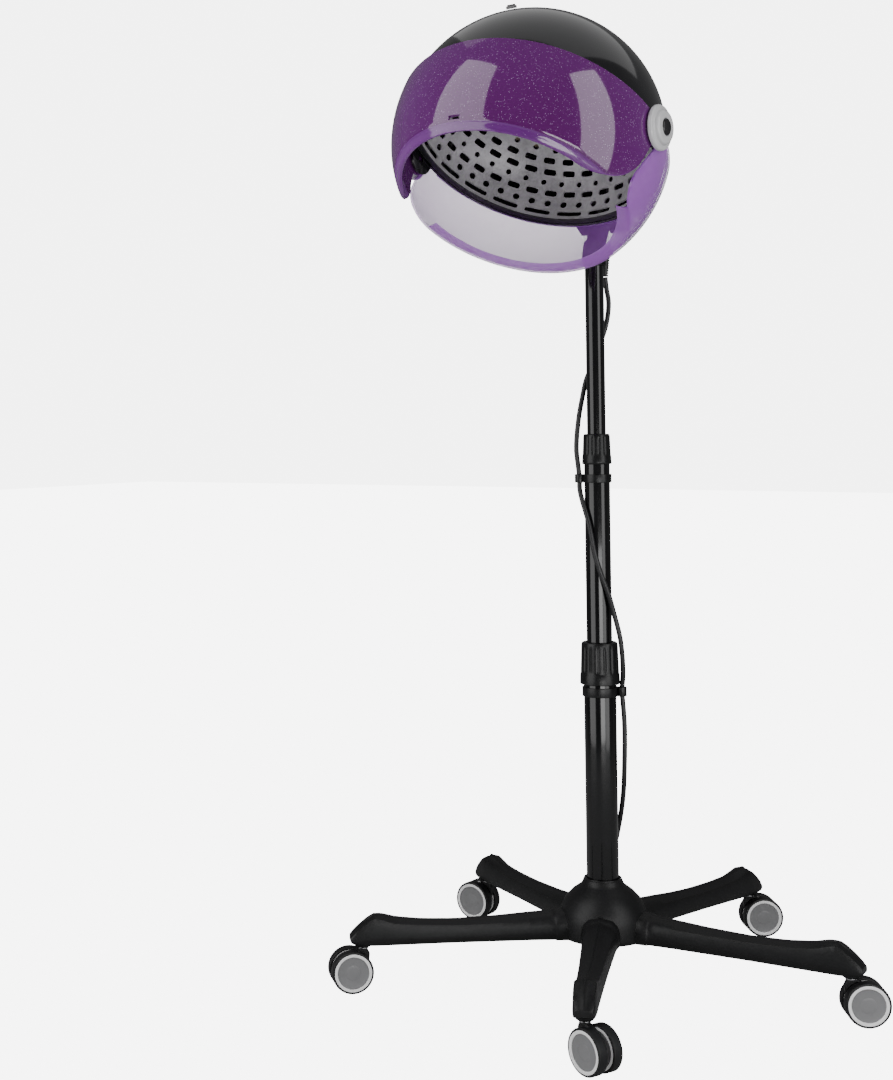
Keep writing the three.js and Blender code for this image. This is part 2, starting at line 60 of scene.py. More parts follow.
def turned(degrees, axis):
    return Matrix.Rotation(math.radians(degrees), 4, axis)


def rect(u0, v0, u1, v1):
    """Corners of a rectangle, counterclockwise from the low one."""
    return [(u0, v0), (u1, v0), (u1, v1), (u0, v1)]


def box_mid(node):
    low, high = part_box(node)
    return (Vector(low) + Vector(high)) / 2


# ------------------------------------------------------------------ frames
tube_mid = box_mid("lower_tube")
POLE = Vector((tube_mid.x, tube_mid.y, 0))
STAND = Matrix.Translation(POLE) @ Matrix.Scale(MM, 4)  # millimetres about the pole axis
HOOD_TILT = math.radians(-34.3)
hood_mid = (box_mid("pivot_cap_left") + box_mid("pivot_cap_right")) / 2
HOOD = Matrix.Translation(hood_mid) @ Matrix.Rotation(HOOD_TILT, 4, "X") @ Matrix.Scale(MM, 4)
HINGE_LOCAL = Vector((0, 174.9, 28.1))
HINGE = HOOD @ HINGE_LOCAL
HINGE_FRAME = Matrix.Translation(HINGE) @ Matrix.Scale(MM, 4)


# ------------------------------------------------------------------ camera
CAMERA_FROM_POLE = Vector((1.02714, -1.87977, 0.68429))
camera_data = bpy.data.cameras.new("camera")
camera = bpy.data.objects.new("camera", camera_data)
bpy.context.scene.collection.objects.link(camera)
camera_data.sensor_fit = "AUTO"
camera_data.sensor_width = 36
camera_data.lens = 58.605
camera_data.shift_x = 0.1764
camera_data.shift_y = -0.1021
camera_data.clip_start, camera_data.clip_end = 0.05, 60
right = Vector((0.770376, 0.637393, -0.01582)).normalized()
forward = Vector((-0.637547, 0.770374, -0.007577)).normalized()
up = right.cross(forward).normalized()
right = forward.cross(up).normalized()
camera.matrix_world = Matrix.Translation(POLE + CAMERA_FROM_POLE) @ Matrix((
    (right.x, up.x, -forward.x, 0), (right.y, up.y, -forward.y, 0),
    (right.z, up.z, -forward.z, 0), (0, 0, 0, 1)))
bpy.context.scene.camera = camera


# ------------------------------------------------------------------ materials
def node_material(name):
    material = bpy.data.materials.new(name)
    material.use_nodes = True
    shader = material.node_tree.nodes["Principled BSDF"]
    return material, material.node_tree, shader


def noise(tree, where, scale, detail):
    node = tree.nodes.new("ShaderNodeTexNoise")
    node.inputs["Scale"].default_value = scale
    node.inputs["Detail"].default_value = detail
    tree.links.new(where.outputs["Object"], node.inputs["Vector"])
    return node.outputs["Fac"]


def math_node(tree, operation, *values, clamp=False):
    """Output of a Math node whose inputs are sockets or plain numbers."""
    node = tree.nodes.new("ShaderNodeMath")
    node.operation = operation
    node.use_clamp = clamp
    for i, value in enumerate(values):
        if isinstance(value, (int, float)):
            node.inputs[i].default_value = value
        else:
            tree.links.new(value, node.inputs[i])
    return node.outputs["Value"]


def ranged(tree, factor, low, high):
    """Socket that goes from low to high as the factor goes from 0 to 1."""
    node = tree.nodes.new("ShaderNodeMapRange")
    node.inputs["To Min"].default_value = low
    node.inputs["To Max"].default_value = high
    tree.links.new(factor, node.inputs["Value"])
    return node.outputs["Result"]


def grainy(name, color, rough, spread=0.08, grain=900, bump=0.15, metal=0.0, coat=0.0, tone=0.2,
           specular=0.5):
    """Moulded or painted surface: slow tone and gloss variation with a fine surface grain."""
    material, tree, shader = node_material(name)
    new, link = tree.nodes.new, tree.links.new
    where = new("ShaderNodeTexCoord")
    slow = noise(tree, where, scale=38, detail=4)
    ramp = new("ShaderNodeValToRGB")
    ramp.color_ramp.elements[0].position, ramp.color_ramp.elements[1].position = 0.3, 0.72
    ramp.color_ramp.elements[0].color = (*[c * (1 - tone) for c in color], 1)
    ramp.color_ramp.elements[1].color = (*[c * (1 + tone) for c in color], 1)
    link(slow, ramp.inputs["Fac"])
    link(ramp.outputs["Color"], shader.inputs["Base Color"])
    link(ranged(tree, slow, rough - spread, rough + spread), shader.inputs["Roughness"])
    relief = new("ShaderNodeBump")
    relief.inputs["Strength"].default_value = bump
    relief.inputs["Distance"].default_value = 0.0004
    link(noise(tree, where, scale=grain, detail=3), relief.inputs["Height"])
    link(relief.outputs["Normal"], shader.inputs["Normal"])
    shader.inputs["Metallic"].default_value = metal
    shader.inputs["Coat Weight"].default_value = coat
    shader.inputs["Coat Roughness"].default_value = 0.05
    shader.inputs["Specular IOR Level"].default_value = specular
    return material


CLOUD_SHARE = 0.25  # how much the slow cloud adds to the paleness
PALE_START = 0.13  # paleness below this stays at the deep colour
FLECK_CELLS = 900
FLECK_RADIUS = 0.3
FLECK_COLOR = (0.62, 0.46, 0.74, 1)


def tinted(name, deep, pale, rough, alpha, glitter, transmission, rim=0.5):
    """Translucent moulded plastic with flecks of glitter in it. Its colour turns paler at grazing angles, a
    painted sheen, on top of a random cloudy paleness.
    """
    material, tree, shader = node_material(name)
    new, link = tree.nodes.new, tree.links.new
    where = new("ShaderNodeTexCoord")
    cloud = noise(tree, where, scale=22, detail=5)
    edge = new("ShaderNodeLayerWeight")
    edge.inputs["Blend"].default_value = rim
    tint = new("ShaderNodeMix")
    tint.data_type = "RGBA"
    tint.inputs["A"].default_value = (*deep, 1)
    tint.inputs["B"].default_value = (*pale, 1)
    # painted sheen: the facing term pushes the colour to the pale tint at grazing angles; the cloud adds a
    # random paleness
    cloud_and_sheen_share = math_node(tree, "MULTIPLY_ADD", cloud, CLOUD_SHARE, edge.outputs["Facing"])
    link(math_node(tree, "SUBTRACT", cloud_and_sheen_share, PALE_START, clamp=True), tint.inputs["Factor"])
    # flecks: a few bright points among small cells
    cells = new("ShaderNodeTexVoronoi")
    cells.inputs["Scale"].default_value = FLECK_CELLS
    link(where.outputs["Object"], cells.inputs["Vector"])
    pick = new("ShaderNodeSeparateColor")
    link(cells.outputs["Color"], pick.inputs["Color"])
    chosen = math_node(tree, "GREATER_THAN", pick.outputs["Red"], 1 - glitter)
    near = math_node(tree, "LESS_THAN", cells.outputs["Distance"], FLECK_RADIUS)
    fleck = math_node(tree, "MULTIPLY", chosen, near)
    soft = math_node(tree, "MULTIPLY", fleck, pick.outputs["Green"])
    mixed = new("ShaderNodeMix")
    mixed.data_type = "RGBA"
    mixed.inputs["B"].default_value = FLECK_COLOR
    link(tint.outputs["Result"], mixed.inputs["A"])
    link(soft, mixed.inputs["Factor"])
    link(mixed.outputs["Result"], shader.inputs["Base Color"])
    dense = ranged(tree, edge.outputs["Facing"], alpha, min(1, alpha + 0.25))
    link(math_node(tree, "MAXIMUM", soft, dense), shader.inputs["Alpha"])
    link(ranged(tree, cloud, rough * 0.7, rough * 1.4), shader.inputs["Roughness"])
    shader.inputs["Transmission Weight"].default_value = transmission
    shader.inputs["IOR"].default_value = 1.49
    shader.inputs["Coat Weight"].default_value = 0.6
    shader.inputs["Coat Roughness"].default_value = 0.03
    return material


M = {
    "base": grainy("base_plastic", (0.006, 0.006, 0.0065), 0.42, 0.06, 1400, 0.3, specular=0.3),
    "tread": grainy("wheel_tread", (0.008, 0.008, 0.009), 0.5, 0.08, 1200, 0.3, specular=0.3),
    "ring": grainy("wheel_ring", (0.95, 0.95, 0.95), 0.3, 0.05, 900, 0.05, tone=0.01),
    "disc": grainy("wheel_disc", (0.20, 0.20, 0.205), 0.25, 0.05, 900, 0.03, tone=0.06),
    "stem": grainy("stem_steel", (0.4, 0.4, 0.41), 0.2, 0.05, 1600, 0.05, metal=1, tone=0.05),
    "chrome": grainy("bright_steel", (0.72, 0.72, 0.74), 0.14, 0.05, 1600, 0.05, metal=1, tone=0.05),
    "pole": grainy("pole_lacquer", (0.004, 0.004, 0.0045), 0.14, 0.03, 700, 0.04, coat=0.3, specular=0.35),
    "collar": grainy("collar_plastic", (0.006, 0.006, 0.0065), 0.3, 0.06, 1300, 0.2, specular=0.3),
    "dome": grainy("dome_gloss", (0.006, 0.006, 0.007), 0.12, 0.03, 260, 0.015, coat=0.5),
    "diffuser": grainy("diffuser_grey", (0.46, 0.46, 0.465), 0.38, 0.06, 1500, 0.25, metal=0.15),
    "flange": grainy("flange_dark", (0.02, 0.02, 0.022), 0.4, 0.06, 1300, 0.25),
    "cap": grainy("cap_grey", (0.60, 0.60, 0.61), 0.22, 0.05, 900, 0.06, coat=0.4, tone=0.05),
    "knob": grainy("knob_plastic", (0.03, 0.03, 0.033), 0.38, 0.06, 1300, 0.25),
    "red": grainy("switch_red", (0.4, 0.02, 0.02), 0.25, 0.05, 900, 0.08),
    "mica": grainy("mica_board", (0.5, 0.42, 0.3), 0.6, 0.1, 500, 0.4),
    "cord": grainy("cord_sheath", (0.008, 0.008, 0.009), 0.42, 0.08, 1500, 0.3),
    "brass": grainy("pin_brass", (0.75, 0.6, 0.32), 0.25, 0.05, 900, 0.05, metal=1),
    "mark": grainy("dial_mark", (0.75, 0.75, 0.75), 0.5, 0.05, 900, 0.05, tone=0.03),
    "visor": tinted("visor_tint", (0.100, 0.005, 0.118), (0.18, 0.04, 0.24), 0.07, 0.94, 0.22, 0.06),
    "lip": tinted("visor_lip", (0.15, 0.022, 0.22), (0.34, 0.12, 0.46), 0.12, 0.86, 0.05, 0.12),
    "guard": tinted("guard_tint", (0.44, 0.09, 0.66), (0.62, 0.28, 0.84), 0.12, 0.55, 0.0, 0.2),
}


# ------------------------------------------------------------------ mesh helpers
def build(name, points, faces, materials, frame_matrix, face_material=None, sharp=35):
    """A mesh object from points in a local frame, smooth shaded except at sharp edges."""
    mesh = bpy.data.meshes.new(name)
    mesh.from_pydata([frame_matrix @ Vector(p) for p in points], [], faces)
    for material in materials:
        mesh.materials.append(M[material])
    if face_material:
        mesh.polygons.foreach_set("material_index", face_material)
    mesh.polygons.foreach_set("use_smooth", [True] * len(mesh.polygons))
    mesh.set_sharp_from_angle(angle=math.radians(sharp))
    mesh.update()
    obj = bpy.data.objects.new(name, mesh)
    bpy.context.scene.collection.objects.link(obj)
    return obj


def fillet(profile, radius, steps=3, closed=False):
    """Rounds the corners of a [r, z] or [x, y] outline."""
    n = len(profile)
    result = []
    for i, corner in enumerate(profile):
        if not closed and i in (0, n - 1):
            result.append(tuple(corner))
            continue
        here = Vector(corner[:2])
        before = Vector(profile[i - 1][:2]) - here
        after = Vector(profile[(i + 1) % n][:2]) - here
        if before.length < 1e-6 or after.length < 1e-6:
            continue
        turn = math.pi - before.angle(after)
        if turn < math.radians(18):
            result.append(tuple(corner))
            continue
        reach = min(radius, before.length * 0.45, after.length * 0.45)
        a, b = here + before.normalized() * reach, here + after.normalized() * reach
        for k in range(steps + 1):
            t = k / steps
            p = a * (1 - t) ** 2 + here * 2 * t * (1 - t) + b * t * t
            result.append((p.x, p.y, *corner[2:]))
    return result


def lathe(name, profile, materials, frame_matrix, segments=96, body=None, stands_for=(),
          shape=None, closed=False, sharp=35):
    """Turned piece about local Z. A profile entry is (r, z) or (r, z, material index)."""
    rings, points, faces, index = [], [], [], []
    for entry in profile:
        r, z = entry[0], entry[1]
        if r < 1e-6:
            rings.append([len(points)])
            points.append((0, 0, z))
            continue
        rings.append(list(range(len(points), len(points) + segments)))
        for j in range(segments):
            a = 2 * math.pi * j / segments
            rr = shape(r, z, a) if shape else r
            points.append((rr * math.cos(a), rr * math.sin(a), z))
    pairs = list(zip(range(len(rings) - 1), range(1, len(rings))))
    if closed:
        pairs.append((len(rings) - 1, 0))
    for i, k in pairs:
        low, high = rings[i], rings[k]
        kind = profile[i][2] if len(profile[i]) > 2 else 0
        for j in range(segments):
            n = (j + 1) % segments
            if len(low) == 1 and len(high) == 1:
                continue
            if len(low) == 1:
                face = (low[0], high[n], high[j])
            elif len(high) == 1:
                face = (low[j], low[n], high[0])
            else:
                face = (low[j], low[n], high[n], high[j])
            faces.append(face)
            index.append(kind)
    obj = build(name, points, faces, materials, frame_matrix, index, sharp)
    return settle(obj, body, stands_for)


def settle(obj, body, stands_for=()):
    if body:
        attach(obj, body)
    if stands_for:
        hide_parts(*stands_for)
    return obj


def prism(name, outline, depth0, depth1, plane, materials, frame_matrix, body=None, stands_for=(),
          bevel=0.8):
    """Straight prism of an outline. plane maps (u, v, depth) to local x, y, z."""
    n = len(outline)
    points = [plane(u, v, depth0) for u, v in outline] + [plane(u, v, depth1) for u, v in outline]
    faces = [tuple(range(n)), tuple(reversed(range(n, 2 * n)))]
    faces += [(j, j + n, (j + 1) % n + n, (j + 1) % n) for j in range(n)]
    obj = build(name, points, faces, materials, frame_matrix, sharp=30)
    fix_normals(obj)
    if bevel:
        add_bevel(obj, bevel)
    return settle(obj, body, stands_for)


def fix_normals(obj):
    bm = bmesh.new()
    bm.from_mesh(obj.data)
    bmesh.ops.recalc_face_normals(bm, faces=bm.faces)
    bm.to_mesh(obj.data)
    bm.free()


def add_bevel(obj, width, segments=3, angle=30):
    bevel = obj.modifiers.new("rounded_edges", "BEVEL")
    bevel.width = width * MM
    bevel.segments = segments
    bevel.limit_method = "ANGLE"
    bevel.angle_limit = math.radians(angle)
    bevel.harden_normals = False


def joined(objects, name):
    """Joins objects into one piece before it is put on a body."""
    bpy.context.view_layer.update()
    for o in bpy.context.selected_objects:
        o.select_set(False)
    for o in objects:
        bpy.context.view_layer.objects.active = o
        o.select_set(True)
        for m in list(o.modifiers):
            bpy.ops.object.modifier_apply(modifier=m.name)
    bpy.context.view_layer.objects.active = objects[0]
    bpy.ops.object.join()
    objects[0].name = name
    objects[0].data.name = name
    objects[0].select_set(False)
    return objects[0]


X_PLANE = lambda u, v, d: (d, u, v)
Y_PLANE = lambda u, v, d: (u, d, v)
Z_PLANE = lambda u, v, d: (u, v, d)


def polar(r, angle, z):
    return Vector((r * math.cos(math.radians(angle)), r * math.sin(math.radians(angle)), z))


# ------------------------------------------------------------------ supply cord
CORD_R = 3.0
CORD_TOP = [(27, 90, 845.6), (28, 88, 832), (28.5, 83, 814), (24.5, 86, 788), (20.5, 112, 756),
            (20, 122, 743)]
CORD_UPPER = [(20, 122.5, 742.4), (20, 150, 724.5), (20, 175, 698), (21.6, 195, 674),
              (24, 205, 640), (22, 207.3, 618), (20.6, 207.3, 604)]
CORD_MIDDLE = [(20.6, 207.3, 603.4), (20.6, 214, 590), (19, 265.6, 550), (19, 288, 513),
               (19, 308, 490), (19.5, 334, 467), (21, 354, 444), (27, 364, 412), (27.6, 378, 372),
               (25.8, 386.6, 354), (25.5, 387.3, 349.2)]
CORD_LOWER = [(25.5, 27.3, 348.6), (26.5, 27, 336), (28, 27, 310), (27.5, 28, 267), (26, 45, 219),
              (26, 78, 170), (32, 100, 145), (46, 110, 124), (59, 113, 98), (64, 114, 74),
              (70, 114.8, 50), (81, 115.6, 27), (97, 116.3, 10.5), (118, 116.8, 4.4),
              (140, 117.2, 3.4)]
LEAD_IN = [(140.8, -0.3, 3.4), (158, 2.5, 3.5), (178, 9, 3.8), (199, 19.5, 4), (213, 27.2, 4.1),
           (227, 33.6, 4.1)]
COIL_ANGLE, COIL_AT, COIL_R, COIL_PITCH, COIL_LOW, COIL_HIGH = 117.3, 262, 40.4, 6.02, 4.2, 10.5
PLUG_AT = (224, -38.6, 11)
COIL_TURN = turned(COIL_ANGLE, "Z")


def coil_route():
    route = [(227.3, 33.7, 4.1), (241, 38.2, 4.2)]
    for k in range(73):
        t = k / 16
        r = COIL_R - COIL_PITCH * t if t < 2.5 else COIL_R + COIL_PITCH * (t - 5)
        s = min(1, max(0, (t - 2) / 0.5))
        z = COIL_LOW + (COIL_HIGH - COIL_LOW) * s * s * (3 - 2 * s)
        a = math.pi / 2 - 2 * math.pi * t
        route.append((COIL_AT + r * math.cos(a), r * math.sin(a), z))
    route += [(241, -38.8, 10.8), PLUG_AT]
    return [COIL_TURN @ Vector(p) for p in route]


def smooth_route(points, per=6):
    """Centripetal Catmull-Rom curve through the points."""
    points = [Vector(p) for p in points]
    first = points[0] * 2 - points[1]
    last = points[-1] * 2 - points[-2]
    chain = [first, *points, last]
    out = []
    for i in range(1, len(chain) - 2):
        p0, p1, p2, p3 = chain[i - 1:i + 3]
        t0, t1 = 0, (p1 - p0).length ** 0.5
        t2 = t1 + (p2 - p1).length ** 0.5
        t3 = t2 + (p3 - p2).length ** 0.5
        for k in range(per):
            t = t1 + (t2 - t1) * k / per
            a1 = p0 * ((t1 - t) / (t1 - t0)) + p1 * ((t - t0) / (t1 - t0))
            a2 = p1 * ((t2 - t) / (t2 - t1)) + p2 * ((t - t1) / (t2 - t1))
            a3 = p2 * ((t3 - t) / (t3 - t2)) + p3 * ((t - t2) / (t3 - t2))
            b1 = a1 * ((t2 - t) / (t2 - t0)) + a2 * ((t - t0) / (t2 - t0))
            b2 = a2 * ((t3 - t) / (t3 - t1)) + a3 * ((t - t1) / (t3 - t1))
            out.append(b1 * ((t2 - t) / (t2 - t1)) + b2 * ((t - t1) / (t2 - t1)))
    out.append(points[-1])
    return out


def tube(name, route, radius, materials, frame_matrix, sides=16):
    """Round tube along a route, with a frame carried along it so that it never twists."""
    points, faces = [], []
    normal = None
    for i, p in enumerate(route):
        ahead = route[min(i + 1, len(route) - 1)] - route[max(i - 1, 0)]
        ahead.normalize()
        if normal is None:
            normal = ahead.orthogonal().normalized()
        normal = (normal - ahead * normal.dot(ahead)).normalized()
        other = ahead.cross(normal)
        for j in range(sides):
            a = 2 * math.pi * j / sides
            points.append(p + (normal * math.cos(a) + other * math.sin(a)) * radius)
    for i in range(len(route) - 1):
        for j in range(sides):
            a, b = i * sides + j, i * sides + (j + 1) % sides
            faces.append((a, b, b + sides, a + sides))
    last = (len(route) - 1) * sides
    faces += [tuple(reversed(range(sides))), tuple(last + j for j in range(sides))]
    return build(name, points, faces, materials, frame_matrix)


def cord_piece(name, route):
    smooth = smooth_route(route)
    piece = tube(f"{name}_sheath", smooth, CORD_R, ["cord"], STAND)
    path = [STAND @ p for p in smooth]
    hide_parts(name)
    return piece, path


top, top_path = cord_piece("cord_top", [polar(*p) for p in CORD_TOP])
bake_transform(top)
upper, upper_path = cord_piece("cord_upper", [polar(*p) for p in CORD_UPPER])
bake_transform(upper)
middle, middle_path = cord_piece("cord_middle", [polar(*p) for p in CORD_MIDDLE])
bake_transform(middle)
lower_route = [polar(*p) for p in CORD_LOWER] + [COIL_TURN @ Vector(p) for p in LEAD_IN]
lower, _ = cord_piece("cord_lower", lower_route)
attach(lower, "base")

# plug: moulded body with grip ribs and two round pins
plug_frame = STAND @ COIL_TURN @ shift(PLUG_AT[0] - 0.6, PLUG_AT[1], PLUG_AT[2]) @ turned(-90, "Y")
plug_profile = fillet([(0, 0.4), (3.6, 0.4), (4.0, 4), (3.7, 4.6), (4.4, 8), (4.1, 8.6), (6, 12),
                       (9.4, 16), (10.2, 24), (10.2, 34), (9.4, 38), (0, 38)], 1.4)
plug_body = lathe("plug_body", plug_profile, ["cord"], plug_frame, 64)
pins = [lathe(f"plug_pin_{i}", fillet([(0, 37), (2, 37), (2, 55), (1.2, 56), (0, 56)], 0.6), ["brass"],
              plug_frame @ shift(x, 0, 0), 24)
        for i, x in enumerate((-5.5, 5.5))]
plug = joined([plug_body, *pins], "plug_detail")
settle(plug, "base", ["plug"])

tie_frame = STAND @ COIL_TURN
TIE_OUT = fillet(rect(21.6, 0.1, 44.6, 15.2), 3, 5, closed=True)
TIE_IN = fillet(rect(22.4, 0.9, 43.8, 14.4), 2.4, 5, closed=True)
n_tie = len(TIE_OUT)
tie_points, tie_faces = [], []
for y in (-3.8, 3.8):
    tie_points += [(COIL_AT + u, y, v) for u, v in TIE_OUT] + [(COIL_AT + u, y, v) for u, v in TIE_IN]
for j in range(n_tie):
    k = (j + 1) % n_tie
    a, b, c, d = 0, n_tie, 2 * n_tie, 3 * n_tie
    tie_faces += [(a + j, a + k, b + k, b + j), (c + k, c + j, d + j, d + k),
                  (a + k, a + j, c + j, c + k), (b + j, b + k, d + k, d + j)]
tie = build("cord_tie_strap", tie_points, tie_faces, ["cord"], tie_frame)
fix_normals(tie)
settle(tie, "base", ["cord_tie"])
coil, _ = cord_piece("cord_coil", coil_route())
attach(coil, "base")

# ------------------------------------------------------------------ rolling base
HUB = fillet([(0, 56), (50, 56), (53, 60), (53, 78), (50.5, 90), (44.5, 101.5), (36, 110.5),
              (25, 118.5), (22.6, 125), (19.4, 125), (19.4, 115)], 5, 4)
lathe("hub_shell", HUB + [(19.4, 64), (0, 64)], ["base"], STAND, 128, "base", ["hub"])
lathe("hub_ring", fillet(rect(19.4, 122, 22.2, 126.2), 0.7, closed=True),
      ["collar"], STAND, 96, "base", closed=True)

LEG_STATIONS = [  # radius, half width, underside, spine, flank, crest width
    (44, 23, 57, 91.6, 0.66, 0.62), (60, 22.4, 57, 90, 0.66, 0.6), (63, 20.8, 57.5, 88.5, 0.66, 0.55),
    (90, 19.4, 57.5, 87, 0.7, 0.5), (130, 17.5, 57, 84, 0.74, 0.46), (180, 15.6, 56.5, 82, 0.76, 0.44),
    (220, 14.4, 55.8, 83.2, 0.76, 0.44), (250, 13.8, 55.3, 86.5, 0.74, 0.5), (268, 13.4, 55, 91, 0.78, 0.7),
    (277, 13.4, 55, 91, 0.84, 0.9), (284, 13.2, 55.2, 86, 0.86, 0.9), (294, 12.6, 55.6, 78, 0.84, 0.84),
    (301, 11.8, 56.6, 71, 0.8, 0.8), (305, 10.3, 58.5, 66.5, 0.7, 0.7)]


def leg_value(x, k):
    for a, b in zip(LEG_STATIONS, LEG_STATIONS[1:]):
        if x <= b[0]:
            t = (x - a[0]) / (b[0] - a[0])
            return a[k] + (b[k] - a[k]) * t
    return LEG_STATIONS[-1][k]


def leg_section(x):
    half, z0, z1, flank, crest = (leg_value(x, k) for k in range(1, 6))
    h = z1 - z0
    spine = h * 0.06
    side = [(half * 0.86, z0), (half * 0.97, z0 + h * 0.1), (half, z0 + h * 0.3),
            (half * 0.96, z0 + h * flank * 0.82), (half * 0.86, z0 + h * flank + h * 0.06),
            (half * crest, z1 - spine - h * 0.05), (half * crest * 0.55, z1 - spine),
            (half * 0.16, z1 - spine * 0.75), (half * 0.08, z1)]
    return [(-w, z) for w, z in side] + [(w, z) for w, z in reversed(side)]


def leg_mesh(name, angle):
    xs = [44, 52, 60, 61.5, 63, 70] + [80 + 12 * k for k in range(14)] + \
        [244, 252, 260, 266, 270, 274, 277, 280, 284, 288, 292, 296, 299, 301, 303, 304.2, 305]
    rings = [[(x, y, z) for y, z in leg_section(x)] for x in xs]
    n = len(rings[0])
    points = [p for ring in rings for p in ring]
    faces = []
    for i in range(len(rings) - 1):
        for j in range(n):
            a, b = i * n + j, i * n + (j + 1) % n
            faces.append((a, a + n, b + n, b))
    faces += [tuple(range(n)), tuple(reversed(range(len(points) - n, len(points))))]
    at = STAND @ turned(angle, "Z")
    leg = build(f"{name}_body", points, faces, ["base"], at, sharp=48)
    fix_normals(leg)
    add_bevel(leg, 0.9, 2, 40)
    boss = lathe(f"{name}_boss", fillet([(6, 52.2), (8.6, 52.2), (9.8, 53.4), (10.2, 57), (10.2, 61),
                                         (6, 61)], 0.8),
                 ["base"], at @ shift(290, 0, 0), 48)
    leg = joined([leg, boss], f"{name}_arm")
    return settle(leg, "base", [name])


LEG_ANGLES = [-65.4 + 72 * k for k in range(5)]
TRAIL_ANGLES = [-19, 35, 40, 179, 228]
CASTERS = ["front", "right", "rear_right", "rear_left", "left"]
WHEEL = fillet([(3.4, -5.2, 2), (5.5, -5.2, 2), (18.7, -5.0, 2), (19.1, -6.0, 1), (22.3, -6.0, 0),
                (24.4, -5.7, 0), (25, -4.8, 0), (25, 4.8, 0), (24.4, 5.7, 0), (22.3, 6.0, 1),
                (19.1, 6.0, 1), (18.7, 5.0, 2), (5.5, 5.2, 2), (3.4, 5.2, 2)], 0.2, 2)

for i, (angle, trail, label) in enumerate(zip(LEG_ANGLES, TRAIL_ANGLES, CASTERS)):
    leg_mesh(f"leg_{i + 1}", angle)
    at = STAND @ Matrix.Translation(polar(290, angle, 0)) @ turned(trail, "Z")
    web = prism(f"{label}_web", [(-5, 50.3), (-8, 44), (-7, 34), (0, 20), (8, 12), (18, 10), (27, 16),
                                 (30, 27), (26, 38), (14, 46), (6, 50.3)], -3.5, 3.5, Y_PLANE, ["base"],
                at, bevel=1.0)
    stem = lathe(f"{label}_stem", fillet([(0, 49.6), (6.4, 50.1), (6.4, 51.6), (5.2, 51.9),
                                          (5.2, 62), (0, 62)], 0.3), ["stem"], at, 40)
    axle = lathe(f"{label}_axle", fillet(rect(0, -14, 3, 14), 0.5),
                 ["chrome"], at @ shift(15, 0, 25) @ turned(90, "X"), 32)
    fork = joined([web, stem, axle], f"caster_{label}_fork")
    settle(fork, f"caster_{label}", [f"caster_{label}_housing"])
    for side, sign in (("a", -1), ("b", 1)):
        wheel_at = at @ shift(15, sign * 10.1, 25) @ turned(90, "X")
        wheel = lathe(f"{label}_wheel_{side}", WHEEL, ["tread", "ring", "disc"], wheel_at, 72,
                      closed=True)
        cap_profile = fillet([(0, 5.4), (6, 5.35), (9, 5.2), (9, 4.8), (0, 4.8)], 0.2)
        cap = lathe(f"{label}_hubcap_{side}", cap_profile, ["disc"],
                    wheel_at @ turned(180 if sign > 0 else 0, "X"), 48)
        wheel = joined([wheel, cap], f"{label}_twin_wheel_{side}")
        settle(wheel, f"caster_{label}_wheel_{side}", [f"caster_{label}_wheel_{side}"])

# ------------------------------------------------------------------ pole
for name, body, r, wall, z0, z1 in (("lower_tube", "base", 19, 1.8, 62.5, 394.5),
                                    ("mid_tube", "mid_stage", 15, 1.6, 200, 645.5),
                                    ("upper_tube", "upper_stage", 11, 1.5, 430, 880)):
    lathe(f"{name}_finish", fillet([(r - wall, z0), (r, z0), (r, z1), (r - wall, z1)], 0.5, closed=True),
          ["pole"], STAND, 96, body, [name], closed=True)


def fluted(z0, z1, count, depth, inner):
    """Radius shaping that cuts shallow finger flutes between two heights."""
    def shape(r, z, a):
        if r < inner or not z0 <= z <= z1:
            return r
        blend_in = min(1, (z - z0) / 2.5, (z1 - z) / 2.5)
        wave = max(0, math.cos(count * a)) ** 1.5
        return r - depth * wave * max(0, blend_in)
    return shape


def heights(z0, z1, r0, r1, steps):
    return [(r0 + (r1 - r0) * k / steps, z0 + (z1 - z0) * k / steps) for k in range(steps + 1)]


lathe("lower_collar_grip", [(19.4, 358.2), (22.6, 358), (23.5, 358.8), (23.5, 361), (23.2, 369.5),
                            (22.9, 370.2), (22.6, 371)] + heights(373, 403, 22.6, 21.6, 14)
      + [(21.4, 405.5), (20.8, 407.4), (19.8, 408), (15.5, 408), (15.4, 396), (19.4, 394.8)],
      ["collar"], STAND, 160, "lower_collar", ["lower_collar"],
      fluted(372, 404.5, 16, 1.1, 20), closed=True, sharp=40)
lathe("upper_collar_grip", [(15.4, 621.2), (16.8, 621), (17.4, 621.8), (17.3, 624), (17.0, 630.5),
                            (16.7, 631.2)] + heights(632.5, 653, 16.6, 15.8, 12)
      + [(15.5, 655), (14.9, 656.6), (14.2, 657), (11.5, 657), (11.4, 647), (15.4, 646)],
      ["collar"], STAND, 160, "upper_collar", ["upper_collar"],
      fluted(632, 654, 14, 0.8, 15), closed=True, sharp=40)

for name, body, z0, z1, angle, loop_r, tube_r in (
        ("cord_clip_lower", "base", 343.5, 354.5, 27.3, 25.5, 19),
        ("cord_clip_upper", "mid_stage", 599, 609, 207.3, 20.6, 15)):
    ring = lathe(f"{name}_ring", fillet([(tube_r + 0.3, z0), (tube_r + 2, z0), (tube_r + 2, z1),
                                         (tube_r + 0.3, z1)], 0.6, closed=True), ["collar"], STAND, 96,
                 closed=True)
    eye = lathe(f"{name}_eye", fillet([(3.9, z0), (5.7, z0), (5.7, z1), (3.9, z1)], 0.5, closed=True),
                ["collar"], STAND @ Matrix.Translation(polar(loop_r, angle, 0)), 48, closed=True)
    settle(joined([ring, eye], f"{name}_loop"), body, [name])

